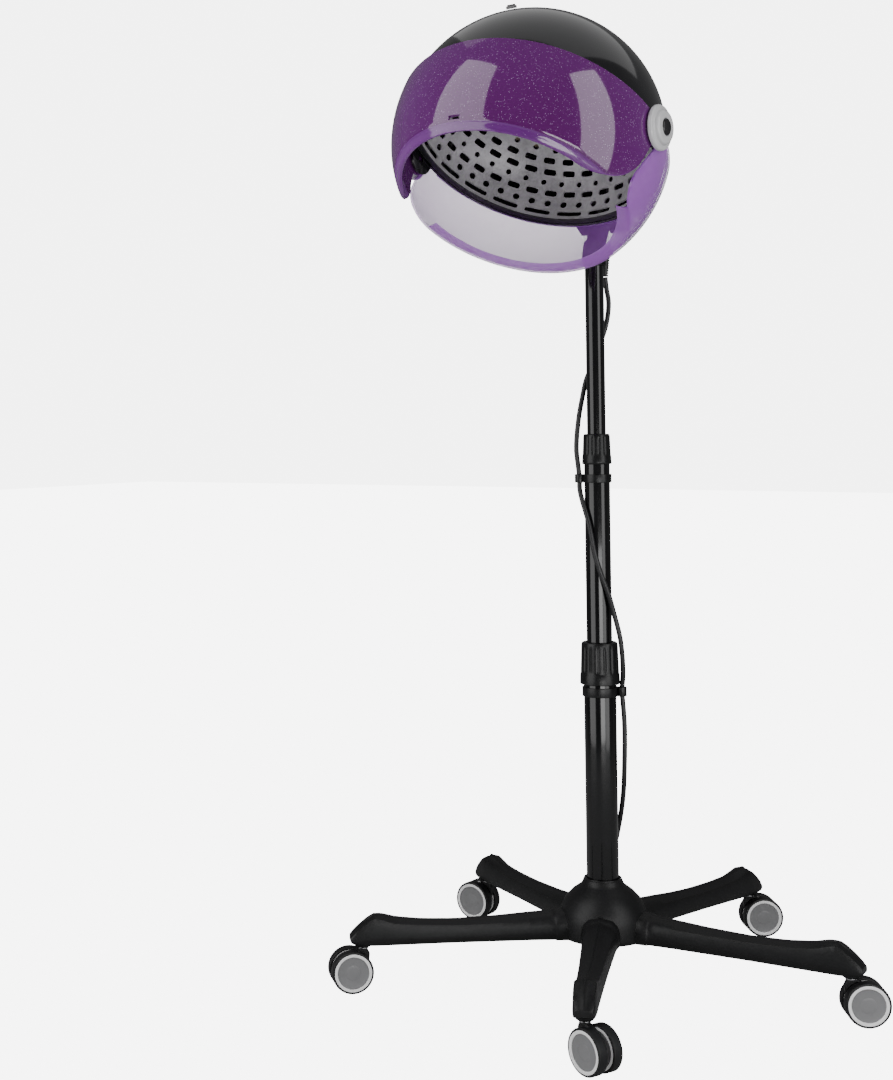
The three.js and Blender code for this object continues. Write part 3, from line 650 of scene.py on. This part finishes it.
# ------------------------------------------------------------------ neck
hinge_mm = STAND.inverted() @ HINGE
socket = lathe("neck_socket", fillet([(11.3, 858), (14.0, 858), (14.5, 859.5), (14.5, 868), (13.8, 869),
                                      (13.8, 872), (12.5, 882), (11, 888), (0, 888)], 1.6), ["collar"],
               STAND, 80)
arm = prism("neck_arm", [(-9, 876), (11, 876), (hinge_mm.y + 10, hinge_mm.z - 6),
                         (hinge_mm.y, hinge_mm.z + 4), (hinge_mm.y - 10, hinge_mm.z - 2)],
            -9, 9, X_PLANE, ["collar"], STAND, bevel=2)
knuckle = lathe("neck_knuckle", fillet(rect(4.3, -12.5, 12, 12.5), 1.2,
                                       closed=True), ["collar"],
                HINGE_FRAME @ turned(90, "Y"), 72, closed=True)
lug = prism("neck_lug", [(4, 872), (33.6, 872), (33.6, 879), (28, 883.6), (4, 883.6)], -7.8, 7.8,
            X_PLANE, ["collar"], STAND, bevel=1.5)
settle(joined([socket, arm, knuckle, lug], "neck_casting"), "neck", ["neck_bracket"])

relief = []
for k in range(8):
    z = 846.5 + k * 3
    r = 3.7 + 2.2 * k / 7
    relief += [(r, z), (r + 0.1, z + 1.7), (r - 0.75, z + 1.9), (r - 0.65, z + 2.8)]
lathe("cord_relief", [(0, 846.2), *relief, (6.1, 871.4), (0, 871.4)], ["cord"],
      STAND @ shift(0, 27, 0), 48, "neck", ["strain_relief"])

ACROSS = turned(90, "Y")
bolt = lathe("bolt_shank", fillet(rect(0, -27, 4, 27), 0.5), ["chrome"],
             HINGE_FRAME @ ACROSS, 32)
head = lathe("bolt_head", fillet(rect(0, -30, 7.5, -26.4), 0.7), ["chrome"],
             HINGE_FRAME @ ACROSS, 6, sharp=20)
settle(joined([bolt, head], "tilt_bolt_steel"), "tilt_knob", ["tilt_bolt"])


def lobed(r, z, a):
    return r + (1.3 * math.cos(6 * a) if r > 11 else 0)


lathe("tilt_hand_knob", fillet([(0, 27.6), (4.3, 27.4), (5, 26.7), (12.6, 26.7), (13.4, 28), (13.4, 37),
                                (12, 38.6), (9, 38.8), (8.6, 40.6), (0, 41)], 0.8), ["knob"],
      HINGE_FRAME @ ACROSS, 96, "tilt_knob", ["tilt_knob"], lobed)

# ------------------------------------------------------------------ hood shells
DOME_R, DOME_WALL, DOME_RIM = 151, 3.2, 3
dome = []
lowest = math.degrees(math.asin(DOME_RIM / DOME_R))
for k in range(49):
    t = math.radians(lowest + (90 - lowest) * k / 48)
    dome.append((0 if k == 48 else DOME_R * math.cos(t), DOME_R * math.sin(t)))
inner_scale = (DOME_R - DOME_WALL) / DOME_R
dome_in = [(r * inner_scale, max(DOME_RIM, z * inner_scale)) for r, z in reversed(dome)]
dome_shell = lathe("dome_shell", [*dome, *dome_in], ["dome"], HOOD, 160, closed=True)

BOWL_R = 157


def bowl_point(radius, azimuth, z):
    """Point at a height on the bowl; azimuth 0 looks forward, along local -Y."""
    r = math.sqrt(max(0, radius * radius - z * z))
    return Vector((r * math.sin(azimuth), -r * math.cos(azimuth), z))


def shell(name, outer, thickness, material_of, materials, matrix):
    """Closed shell from a grid of outer points, each pushed towards the hood centre."""
    rows, columns = len(outer), len(outer[0])
    inner = [[p - (p.normalized() * thickness) for p in row] for row in outer]
    points = [tuple(p) for row in outer for p in row] + [tuple(p) for row in inner for p in row]
    off = rows * columns
    faces, kinds = [], []
    for i in range(rows - 1):
        for j in range(columns - 1):
            a = i * columns + j
            b, c, d = a + 1, a + columns + 1, a + columns
            faces += [(a, b, c, d), (off + d, off + c, off + b, off + a)]
            kinds += [material_of(i), material_of(i)]
    edge = [(0, j) for j in range(columns)] + [(i, columns - 1) for i in range(1, rows)] \
        + [(rows - 1, j) for j in range(columns - 2, -1, -1)] + [(i, 0) for i in range(rows - 2, 0, -1)]
    for (i0, j0), (i1, j1) in zip(edge, edge[1:] + edge[:1]):
        a, b = i0 * columns + j0, i1 * columns + j1
        faces.append((b, a, off + a, off + b))
        kinds.append(material_of(min(i0, i1)))
    obj = build(name, points, faces, materials, matrix, kinds, sharp=50)
    fix_normals(obj)
    add_bevel(obj, 0.9, 3, 50)
    return obj


def table_value(table, z):
    """Piecewise-linear lookup in rows of (z, value), z falling."""
    for (za, a), (zb, b) in zip(table, table[1:]):
        if z >= zb:
            t = 0 if za == zb else min(1, max(0, (za - z) / (za - zb)))
            return a + (b - a) * t
    return table[-1][1]


def ear_pair(name, radius, first, last, thickness, material):
    """Round patches of a sphere about the pivot axis, one on each side."""
    made = []
    for sign in (-1, 1):
        rings = [[Vector((sign * math.sqrt(radius ** 2 - r * r), r * math.cos(a), r * math.sin(a)))
                  for a in [2 * math.pi * k / 64 for k in range(65)]]
                 for r in [first + (last - first) * k / 4 for k in range(5)]]
        made.append(shell(f"{name}_{'l' if sign > 0 else 'r'}", rings, thickness, lambda i: 0,
                          [material], HOOD))
    return made


dome_ears = ear_pair("dome_ear", 150.4, 4.6, 20, 2.6, "dome")
settle(joined([dome_shell, *dome_ears], "dome_cover"), "hood", ["outer_dome"])


def cut_block(obj, low, high):
    """Cuts a box, in hood millimetres, out of an object before its edges are rounded."""
    corners = [(x, y, z) for x in (low[0], high[0]) for y in (low[1], high[1]) for z in (low[2], high[2])]
    cutter = build("cutter", corners, [(0, 1, 3, 2), (4, 6, 7, 5), (0, 4, 5, 1), (2, 3, 7, 6), (0, 2, 6, 4),
                                       (1, 5, 7, 3)], ["dome"], HOOD)
    fix_normals(cutter)
    notch = obj.modifiers.new("notch", "BOOLEAN")
    notch.operation = "DIFFERENCE"
    notch.object = cutter
    notch.solver = "EXACT"
    obj.modifiers.move(len(obj.modifiers) - 1, 0)
    bpy.context.view_layer.objects.active = obj
    obj.select_set(True)
    bpy.ops.object.modifier_apply(modifier="notch")
    obj.select_set(False)
    bpy.data.objects.remove(cutter)


# Lower edge of the visor: height against distance behind its front, rounded up at the sides.
VISOR_EDGE = [(-170, -90), (-52, -90), (-45, -89.2), (-38, -87.5), (-31, -85.4), (-25, -82.5),
              (-18, -78.8), (-12, -74), (-7.5, -69), (-4, -64), (-0.8, -57), (1.3, -50)]
CREASE = -82.5
VISOR_SIDE = 1.3


def visor_low(azimuth):
    """Lowest height of the visor at an azimuth, where the edge curve crosses the bowl."""
    low, high = -90.0, -40.0
    for _ in range(24):
        z = (low + high) / 2
        y = bowl_point(BOWL_R, azimuth, z).y
        edge = VISOR_EDGE[-1][1]
        for (y0, z0), (y1, z1) in zip(VISOR_EDGE, VISOR_EDGE[1:]):
            if y0 <= y <= y1:
                edge = z0 + (z1 - z0) * (y - y0) / (y1 - y0)
                break
        if z < edge:
            low = z
        else:
            high = z
    return high


COLUMNS = 150
MAIN_ROWS = 26
LIP = [(0.08, 1.1), (0.19, 1.5), (0.45, 1.7), (0.75, 1.9), (0.93, 2.4), (1.0, 3.0)]
visor_columns = []
for j in range(COLUMNS + 1):
    s = 2 * j / COLUMNS - 1
    share = 0.35 * s + 0.65 * math.sin(math.pi / 2 * s)
    side = math.radians(90) + math.asin(VISOR_SIDE / BOWL_R)
    azimuth = side * share
    z_low = visor_low(azimuth)
    z_top = 9 + 4 * max(0, math.cos(azimuth)) ** 1.5
    z_crease = max(CREASE, z_low + 1.2)
    column = [bowl_point(BOWL_R, azimuth, z_top + (z_crease - z_top) * k / MAIN_ROWS)
              for k in range(MAIN_ROWS + 1)]
    fade = (z_crease - z_low) / (CREASE - VISOR_EDGE[0][1])
    for down, inset in LIP:
        p = bowl_point(BOWL_R, azimuth, z_crease + (z_low - z_crease) * down)
        column.append(p - Vector((p.x, p.y, 0)).normalized() * inset * fade)
    visor_columns.append(column)
visor_rows = [list(row) for row in zip(*visor_columns)]
visor = shell("visor_body", visor_rows, 3.0, lambda i: 1 if i >= MAIN_ROWS else 0, ["visor", "lip"], HOOD)
cut_block(visor, (-7, -160, -80.5), (7, -110, -76.5))
ears = ear_pair("visor_ear", BOWL_R - 0.02, 4.6, 19.5, 2.9, "visor")
visor = joined([visor, *ears], "visor_tinted")
settle(visor, "visor", ["visor"])

# Neck guard: rear half of the bowl, with an inward lip along its bottom.
GUARD_FRONT = [(8, 15), (-10, 15), (-20, 11), (-40, 6), (-57, 5), (-66, 8), (-73, 15), (-78, 24), (-80, 33)]
guard_heights = [8, 6, 3, 0, -3, -6, -9, -12, -16, -20, -25, -30, -35, -40, -45, -50, -54, -57, -60, -63,
                 -66, -68, -70, -72, -74, -76, -77.5, -79, -80]
guard_rows = []
for z in guard_heights:
    f = table_value(GUARD_FRONT, z)
    sweep = math.atan2(math.sqrt(BOWL_R ** 2 - z * z - f * f), f)
    guard_rows.append([bowl_point(BOWL_R, math.pi + (2 * j / 112 - 1) * sweep, z)
                       for j in range(113)])
base_row = guard_rows[-1]
for inset, lift in ((1.2, -0.5), (3.2, -0.8), (6, -0.7), (9, -0.2), (12, 0.6), (13.2, 1.4)):
    guard_rows.append([p - Vector((p.x, p.y, 0)).normalized() * inset + Vector((0, 0, lift))
                       for p in base_row])
guard = shell("guard_body", guard_rows, 2.6, lambda i: 0, ["guard"], HOOD)
flange = []
for z, r in ((7.4, 154.6), (7.4, 151.6), (4.2, 151.6), (4.2, 154.6)):
    flange.append([Vector((r * math.sin(math.pi + s), -r * math.cos(math.pi + s), z))
                   for s in [math.radians(-76 + 152 * k / 90) for k in range(91)]])
tie_points = [tuple(p) for row in flange for p in row]
tie_faces = []
for i in range(4):
    for j in range(90):
        a, b = i * 91 + j, ((i + 1) % 4) * 91 + j
        tie_faces.append((a, a + 1, b + 1, b))
tie_faces += [(0, 91, 182, 273), (90, 363, 272, 181)]
flange_obj = build("guard_ledge", tie_points, tie_faces, ["guard"], HOOD)
fix_normals(flange_obj)
guard = joined([guard, flange_obj], "guard_tinted")
settle(guard, "hood", ["neck_guard"])

# ------------------------------------------------------------------ diffuser
DIFF_R, DIFF_H, DIFF_Z = 140.3, 99.8, 3.2
ROWS = [  # polar angles of the band, cells round it, hole half sizes in mm, roundness
    (2.0, 8.5, 22, 15.5, 3.2, 6), (8.5, 15.5, 44, 4.0, 4.0, 2), (15.5, 22.5, 36, 7.4, 3.6, 4),
    (22.5, 28.5, 36, 3.2, 3.2, 2), (28.5, 35.5, 32, 7.6, 3.6, 4), (35.5, 42.0, 30, 7.0, 3.6, 4),
    (42.0, 48.0, 26, 3.4, 3.4, 2), (48.0, 55.5, 22, 7.2, 3.6, 4), (55.5, 63.0, 18, 6.6, 3.6, 4),
    (63.0, 71.0, 12, 3.8, 3.8, 2)]


def diffuser_point(polar_deg, azimuth, out=0.0):
    t = math.radians(polar_deg)
    return Vector(((DIFF_R + out) * math.cos(t) * math.cos(azimuth),
                   (DIFF_R + out) * math.cos(t) * math.sin(azimuth),
                   DIFF_Z + (DIFF_H + out) * math.sin(t)))


diff_points, diff_faces = [], []
WALL = 2.0
SIDE = 4


def add_patch(loops):
    """Two-sided wall patch from an outer and an inner loop of (polar, azimuth)."""
    outer_loop, hole = loops
    n = len(outer_loop)
    start = len(diff_points)
    for out in (0, WALL):
        for t, a in outer_loop + hole:
            diff_points.append(tuple(diffuser_point(t, a, out)))
    m = 2 * n
    for j in range(n):
        k = (j + 1) % n
        diff_faces.append((start + j, start + k, start + n + k, start + n + j))
        diff_faces.append((start + m + k, start + m + j, start + m + n + j, start + m + n + k))
        diff_faces.append((start + n + j, start + n + k, start + m + n + k, start + m + n + j))


for t0, t1, count, half_w, half_h, power in ROWS:
    mid = (t0 + t1) / 2
    ring_r = DIFF_R * math.cos(math.radians(mid))
    per_degree = math.hypot(DIFF_R * math.sin(math.radians(mid)), DIFF_H * math.cos(math.radians(mid))) \
        * math.pi / 180
    for c in range(count):
        stagger = 0.5 if ROWS.index((t0, t1, count, half_w, half_h, power)) % 2 else 0
        a_mid = 2 * math.pi * (c + stagger) / count
        a_half = math.pi / count
        outer_loop = [(t0, a_mid - a_half + 2 * a_half * k / SIDE) for k in range(SIDE)] \
            + [(t0 + (t1 - t0) * k / SIDE, a_mid + a_half) for k in range(SIDE)] \
            + [(t1, a_mid + a_half - 2 * a_half * k / SIDE) for k in range(SIDE)] \
            + [(t1 - (t1 - t0) * k / SIDE, a_mid - a_half) for k in range(SIDE)]
        hole = []
        for k in range(4 * SIDE):
            a = math.radians(225 + 360 * k / (4 * SIDE))
            u = math.copysign(abs(math.cos(a)) ** (2 / power), math.cos(a))
            w = math.copysign(abs(math.sin(a)) ** (2 / power), math.sin(a))
            hole.append((mid + w * half_h / per_degree, a_mid + u * half_w / ring_r))
        add_patch((outer_loop, hole))


def plain_band(t0, t1, steps, segments=144):
    start = len(diff_points)
    for out in (0, WALL):
        for i in range(steps + 1):
            for j in range(segments):
                diff_points.append(tuple(diffuser_point(t0 + (t1 - t0) * i / steps,
                                                        2 * math.pi * j / segments, out)))
    sheet = (steps + 1) * segments
    for i in range(steps):
        for j in range(segments):
            a, b = start + i * segments + j, start + i * segments + (j + 1) % segments
            diff_faces.append((a, b, b + segments, a + segments))
            diff_faces.append((a + sheet + segments, b + sheet + segments, b + sheet, a + sheet))


plain_band(0, 2.0, 1)
plain_band(71.0, 89.6, 6)
diffuser = build("diffuser_wall", diff_points, diff_faces, ["diffuser"], HOOD, sharp=50)
rim = lathe("diffuser_rim", fillet([(139.4, 2.8), (146.4, 2.8), (146.4, 5.2), (142.2, 5.2), (141.4, 4.4),
                                    (139.4, 4.4)], 0.5, closed=True),
            ["flange"], HOOD, 144, closed=True)
boss = lathe("diffuser_boss", fillet([(0, 98.7), (12, 98.7), (15, 100.7), (17, 103.4), (0, 105)], 1.2),
             ["flange"], HOOD, 48)
settle(joined([diffuser, rim, boss], "diffuser_bowl"), "hood", ["diffuser"])

# ------------------------------------------------------------------ side caps
for side, sign in (("left", 1), ("right", -1)):
    at = HOOD @ Matrix.Rotation(sign * math.radians(90), 4, "Y")
    lathe(f"pivot_cap_{side}_shell",
          fillet([(0, 157.7), (24.4, 157.7), (25, 158.3), (25, 160.8), (24.2, 162.6), (22, 163.2),
                  (19.6, 163.4), (19, 164), (18.4, 166.6), (16.6, 168.2), (14, 168.5), (10.2, 168.5),
                  (9.5, 167.9), (9.5, 166), (0, 166)], 0.9, 4), ["cap"], at, 112, "hood",
          [f"pivot_cap_{side}"])
    lathe(f"pivot_plug_{side}_button",
          fillet([(0, 166.2), (9.1, 166.2), (9.1, 168.6), (8, 169.5), (5, 169.2), (0, 169.0)], 0.6, 4),
          ["dome"], at, 72, "hood", [f"pivot_plug_{side}"])

# visor stop: stepped tab on the crown of the dome
STOP_RADIUS = 156.35
STOP_ANGLE = 42
stop_at = HOOD @ shift(0, -STOP_RADIUS * math.cos(math.radians(STOP_ANGLE)),
                       STOP_RADIUS * math.sin(math.radians(STOP_ANGLE))) @ turned(-STOP_ANGLE, "X")
foot = prism("stop_foot", rect(-5.9, -2.4, 5.9, 2.4), 1.6, 4.9,
             lambda u, v, d: (u, d, v), ["dome"], stop_at, bevel=0.6)
crown = prism("stop_crown", rect(-4.6, -1.8, 4.6, 1.8), 0.1, 1.8,
              lambda u, v, d: (u, d, v), ["dome"], stop_at, bevel=0.6)
settle(joined([foot, crown], "visor_stop_tab"), "hood", ["visor_stop"])

# ------------------------------------------------------------------ rear control box
REAR = [(139, 47), (186, 47), (190, 51), (190, 84), (146, 128), (96, 131), (84, 124), (120, 84)]
body = prism("rear_box", REAR, -48, 48, X_PLANE, ["dome"], HOOD, bevel=4)
ears_box = []
for sign in (-1, 1):
    x0, x1 = sorted((sign * 13.5, sign * 25.8))
    ears_box.append(prism(f"rear_ear_{sign}", [(150.5, 16), (184, 15.4), (189.6, 21), (189.6, 60),
                                               (146, 60)], x0, x1, X_PLANE, ["dome"], HOOD, bevel=1.6))
settle(joined([body, *ears_box], "rear_control_box"), "hood", ["rear_housing"])

BACK = HOOD @ shift(0, 190, 66) @ turned(-90, "X")
# BACK: local z points out of the back wall, local x as the hood's, local y down


def knurled(r, z, a):
    return r - (0.45 * (0.5 + 0.5 * math.cos(30 * a)) if 10.2 < r < 13 and 4.2 < z < 13.4 else 0)


DIAL_PROFILE = fillet([(0, 0.5), (13.4, 0.5), (13.4, 3), (12.2, 4.2), (11.9, 6), (11.5, 9),
                       (11.2, 12), (10.6, 14.2), (9, 14.8), (0, 14.4)], 0.7)
SCALE_START = -225  # degrees of the first tick
SCALE_STEP = 27
SCALE_RADIUS = 15.2

for name, x in (("timer_knob", -27), ("temperature_knob", 27)):
    at = BACK @ shift(x, 0, 0)
    knob = lathe(f"{name}_dial", DIAL_PROFILE, ["knob"], at, 180, shape=knurled)
    pointer = prism(f"{name}_pointer", rect(-1.1, -10.4, 1.1, -3), 14, 15.8,
                    Z_PLANE, ["mark"], at, bevel=0.4)
    settle(joined([knob, pointer], f"{name}_grip"), name, [name])
    ticks = []
    for k in range(11):
        a = math.radians(SCALE_START + SCALE_STEP * k)
        x0, y0 = SCALE_RADIUS * math.cos(a), SCALE_RADIUS * math.sin(a)
        turn = shift(x0, y0, 0) @ Matrix.Rotation(a, 4, "Z")
        ticks.append(prism(f"{name}_tick_{k}", rect(-1.1, -0.35, 1.1, 0.35),
                           0.05, 0.35, Z_PLANE, ["mark"], at @ turn, bevel=0))
    settle(joined(ticks, f"{name}_scale"), "hood")

rocker = prism("switch_rocker", [(-8.4, -1), (8.4, -1), (8.4, 2.6), (6.5, 2.6), (0, 0.9), (-6.5, 2.6),
                                 (-8.4, 2.6)], -5.2, 5.2, lambda u, v, d: (d, u, v), ["red"], BACK,
               bevel=0.6)
settle(rocker, "power_switch", ["power_switch"])
bezel = [prism(f"switch_bezel_{i}", o, 0.02, 1.0, Z_PLANE, ["knob"], BACK, bevel=0.3)
         for i, o in enumerate((rect(-7.6, -10.8, 7.6, -9.4), rect(-7.6, 9.4, 7.6, 10.8),
                                rect(-7.6, -9.4, -6.1, 9.4), rect(6.1, -9.4, 7.6, 9.4)))]
settle(joined(bezel, "switch_frame"), "hood")

# ------------------------------------------------------------------ carried-over CAD nodes
for node, material in (("intake_grille", "knob"), ("motor", "chrome"), ("impeller", "flange"),
                       ("heater_frame", "mica")):
    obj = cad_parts[node]
    for s in obj.material_slots:
        s.material = M[material]

# ------------------------------------------------------------------ floor and light
def stage_plane(name, size, location, rotation, color):
    mesh = bpy.data.meshes.new(name)
    h = size / 2
    mesh.from_pydata([(-h, -h, 0), (h, -h, 0), (h, h, 0), (-h, h, 0)], [], [(0, 1, 2, 3)])
    obj = bpy.data.objects.new(name, mesh)
    obj.location, obj.rotation_euler = location, rotation
    bpy.context.scene.collection.objects.link(obj)
    material, _, shader = node_material(name)
    shader.inputs["Base Color"].default_value = (*color, 1)
    shader.inputs["Roughness"].default_value = 0.9
    shader.inputs["Specular IOR Level"].default_value = 0.1
    mesh.materials.append(material)
    return obj


def bright_to_camera(tree, plain, bright, share, output):
    """Mixes a bright shader over a plain one by this share, for camera rays only."""
    path = tree.nodes.new("ShaderNodeLightPath")
    mix = tree.nodes.new("ShaderNodeMixShader")
    factor = math_node(tree, "MULTIPLY", path.outputs["Is Camera Ray"], share)
    tree.links.new(factor, mix.inputs["Fac"])
    tree.links.new(plain, mix.inputs[1])
    tree.links.new(bright, mix.inputs[2])
    tree.links.new(mix.outputs["Shader"], output)


FLOOR_GLOW = 7.7
FLOOR_GLOW_SHARE = 0.9
ROOM_STRENGTH = 0.14
BACKDROP_STRENGTH = 7

# The camera sees the floor nearly as bright as the backdrop, with only a faint shadow on it.
floor = stage_plane("floor", 24, (0, 0, 0), (0, 0, 0), (0.5, 0.5, 0.5))
paint = floor.data.materials[0].node_tree
glow = paint.nodes.new("ShaderNodeEmission")
glow.inputs["Strength"].default_value = FLOOR_GLOW
bright_to_camera(paint, paint.nodes["Principled BSDF"].outputs["BSDF"], glow.outputs["Emission"],
                 FLOOR_GLOW_SHARE, paint.nodes["Material Output"].inputs["Surface"])


def area_light(name, location, target, size, size_y, power, color=(1, 1, 1)):
    data = bpy.data.lights.new(name, "AREA")
    data.shape = "RECTANGLE"
    data.size, data.size_y, data.energy, data.color = size, size_y, power, color
    obj = bpy.data.objects.new(name, data)
    obj.location = location
    obj.rotation_euler = (Vector(target) - Vector(location)).to_track_quat("-Z", "Y").to_euler()
    bpy.context.scene.collection.objects.link(obj)
    return obj


# The camera sees a bright backdrop, and every other ray a dim room.
world = bpy.data.worlds.new("studio")
bpy.context.scene.world = world
world.use_nodes = True
sky = world.node_tree
room = sky.nodes["Background"]
room.inputs["Color"].default_value = (0.94, 0.94, 0.96, 1)
room.inputs["Strength"].default_value = ROOM_STRENGTH
backdrop = sky.nodes.new("ShaderNodeBackground")
backdrop.inputs["Strength"].default_value = BACKDROP_STRENGTH
bright_to_camera(sky, room.outputs["Background"], backdrop.outputs["Background"], 1,
                 sky.nodes["World Output"].inputs["Surface"])


def around(azimuth, distance, height):
    """Point at a compass direction and distance from the hood, at a height above the floor."""
    a = math.radians(azimuth)
    return Vector((hood_mid.x + distance * math.cos(a), hood_mid.y + distance * math.sin(a), height))


area_light("left_box", around(-119, 1.75, 1.85), (hood_mid.x, hood_mid.y, 1.85), 1.5, 3.6, 46)
area_light("right_box", around(-6, 1.75, 1.4), (hood_mid.x, hood_mid.y, 1.4), 0.9, 2.7, 24)
area_light("top_box", around(100, 0.9, 2.9), hood_mid, 3.0, 2.4, 10)
area_light("low_box", around(-40, 2.0, 0.3), POLE + Vector((0, 0, 0.1)), 1.2, 0.5, 13)
